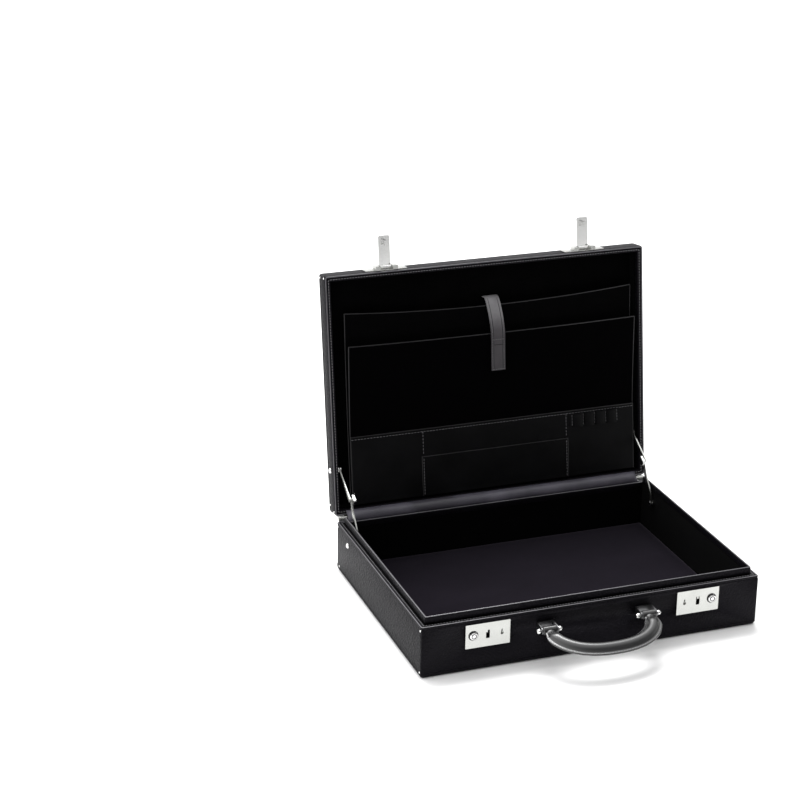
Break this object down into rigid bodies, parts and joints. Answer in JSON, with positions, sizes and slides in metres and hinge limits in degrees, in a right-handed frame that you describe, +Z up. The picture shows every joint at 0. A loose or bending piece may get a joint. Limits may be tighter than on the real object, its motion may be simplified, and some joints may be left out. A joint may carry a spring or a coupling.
{
  "type": "attache case",
  "caption": "Hard-sided black leather attaché case standing open, with folding stays, hasp locks, a hinged carrying handle and a pocket organiser in the lid.",
  "frame": {"origin": "middle of the tray's underside, which the open case rests on", "axes": "+X to the user's right along the width, +Y from the handle side to the hinge side, +Z up"},
  "size_m": [0.4342, 0.4503, 0.4142],
  "materials": {
    "case_leather": "fine pebble-grained leather, near black",
    "smooth_leather": "smooth polished calf leather, near black",
    "strap_leather": "smooth leather with worn sheen",
    "suede": "short-nap suede, dark violet grey",
    "lining": "matt black lining cloth",
    "board": "stiff wood-fibre board under the lining",
    "lock_body": "die-cast lock body, hidden in the wall",
    "plated_metal": "satin palladium-coloured plating"
  },
  "bodies": {
    "tray": {"tray_shell": "case_leather", "tray_dust_lip_liner": "lining", "tray_floor_board": "board", "tray_floor_pad": "suede", "hinge_rod": "plated_metal", "hinge_leather_roll": "case_leather", "hinge_left_tray_leaf": "plated_metal", "stay_left_tray_rivet": "plated_metal", "lock_left_plate": "plated_metal", "lock_left_housing": "lock_body", "handle_left_bracket": "plated_metal", "handle_left_pin": "plated_metal", "hinge_right_tray_leaf": "plated_metal", "stay_right_tray_rivet": "plated_metal", "lock_right_plate": "plated_metal", "lock_right_housing": "lock_body", "handle_right_bracket": "plated_metal", "handle_right_pin": "plated_metal"},
    "lid": {"lid_shell": "case_leather", "lid_lining_board": "lining", "lid_wall_lining": "lining", "organiser_back_pocket": "lining", "organiser_back_gusset": "lining", "organiser_middle_pocket": "suede", "organiser_middle_gusset": "lining", "organiser_front_panel": "smooth_leather", "organiser_card_slot": "smooth_leather", "organiser_pen_loops": "smooth_leather", "organiser_strap": "strap_leather", "hinge_left_lid_leaf": "plated_metal", "stay_left_lid_rivet": "plated_metal", "hasp_left_plate": "plated_metal", "hasp_left_bridge": "plated_metal", "hasp_left_pin": "plated_metal", "hinge_right_lid_leaf": "plated_metal", "stay_right_lid_rivet": "plated_metal", "hasp_right_plate": "plated_metal", "hasp_right_bridge": "plated_metal", "hasp_right_pin": "plated_metal"},
    "stay_left_lower": {"stay_left_lower_arm": "plated_metal", "stay_left_knuckle": "plated_metal"},
    "stay_left_upper": {"stay_left_upper_arm": "plated_metal"},
    "hasp_left": {"hasp_left_tongue": "plated_metal"},
    "lock_left_push_button": {"lock_left_button": "plated_metal"},
    "lock_left_sliding_bolt": {"lock_left_bolt": "plated_metal"},
    "lock_left_key_plug": {"lock_left_key_cylinder": "plated_metal"},
    "stay_right_lower": {"stay_right_lower_arm": "plated_metal", "stay_right_knuckle": "plated_metal"},
    "stay_right_upper": {"stay_right_upper_arm": "plated_metal"},
    "hasp_right": {"hasp_right_tongue": "plated_metal"},
    "lock_right_push_button": {"lock_right_button": "plated_metal"},
    "lock_right_sliding_bolt": {"lock_right_bolt": "plated_metal"},
    "lock_right_key_plug": {"lock_right_key_cylinder": "plated_metal"},
    "handle": {"handle_grip": "smooth_leather", "handle_left_end": "smooth_leather", "handle_right_end": "smooth_leather"}
  },
  "joints": [
    {"name": "lid_hinge", "type": "hinge", "parent": "tray", "child": "lid", "pos_m": [0, 0.1565, 0.0665], "axis": [1, 0, 0], "range_deg": [0, 98]},
    {"name": "stay_left_lower_pivot", "type": "hinge", "parent": "tray", "child": "stay_left_lower", "pos_m": [-0.2014, 0.109, 0.051], "axis": [1, 0, 0], "range_deg": [0, 112.4]},
    {"name": "stay_left_upper_pivot", "type": "hinge", "parent": "lid", "child": "stay_left_upper", "pos_m": [-0.2036, 0.17871, 0.12397], "axis": [1, 0, 0], "range_deg": [-99, 0]},
    {"name": "hasp_left_swing", "type": "hinge", "parent": "lid", "child": "hasp_left", "pos_m": [-0.134, 0.20954, 0.37563], "axis": [1, 0, 0], "range_deg": [0, 90]},
    {"name": "lock_left_press", "type": "slide", "parent": "tray", "child": "lock_left_push_button", "axis": [0, 1, 0], "range_m": [0, 0.0025], "stiffness_N_per_m": 600, "springref_m": -0.001},
    {"name": "lock_left_bolt_slide", "type": "slide", "parent": "tray", "child": "lock_left_sliding_bolt", "axis": [-1, 0, 0], "range_m": [0, 0.0025]},
    {"name": "lock_left_key_turn", "type": "hinge", "parent": "tray", "child": "lock_left_key_plug", "pos_m": [-0.1165, -0.1505, 0.0455], "axis": [0, 1, 0], "range_deg": [0, 90]},
    {"name": "stay_right_lower_pivot", "type": "hinge", "parent": "tray", "child": "stay_right_lower", "pos_m": [0.2014, 0.109, 0.051], "axis": [1, 0, 0], "range_deg": [0, 112.4]},
    {"name": "stay_right_upper_pivot", "type": "hinge", "parent": "lid", "child": "stay_right_upper", "pos_m": [0.2036, 0.17871, 0.12397], "axis": [1, 0, 0], "range_deg": [-99, 0]},
    {"name": "hasp_right_swing", "type": "hinge", "parent": "lid", "child": "hasp_right", "pos_m": [0.134, 0.20954, 0.37563], "axis": [1, 0, 0], "range_deg": [0, 90]},
    {"name": "lock_right_press", "type": "slide", "parent": "tray", "child": "lock_right_push_button", "axis": [0, 1, 0], "range_m": [0, 0.0025], "stiffness_N_per_m": 600, "springref_m": -0.001},
    {"name": "lock_right_bolt_slide", "type": "slide", "parent": "tray", "child": "lock_right_sliding_bolt", "axis": [1, 0, 0], "range_m": [0, 0.0025]},
    {"name": "lock_right_key_turn", "type": "hinge", "parent": "tray", "child": "lock_right_key_plug", "pos_m": [0.1165, -0.1505, 0.0455], "axis": [0, 1, 0], "range_deg": [0, 90]},
    {"name": "handle_swing", "type": "hinge", "parent": "tray", "child": "handle", "pos_m": [0, -0.167, 0.045], "axis": [-1, 0, 0], "range_deg": [0, 90]}
  ],
  "couplings": [
    {"joint": "stay_left_lower_pivot", "follows": "lid_hinge", "ratio": 1.1458},
    {"joint": "stay_left_upper_pivot", "follows": "lid_hinge", "ratio": -1.0087},
    {"joint": "lock_left_bolt_slide", "follows": "lock_left_press", "ratio": 1},
    {"joint": "stay_right_lower_pivot", "follows": "lid_hinge", "ratio": 1.1458},
    {"joint": "stay_right_upper_pivot", "follows": "lid_hinge", "ratio": -1.0087},
    {"joint": "lock_right_bolt_slide", "follows": "lock_right_press", "ratio": 1}
  ]
}
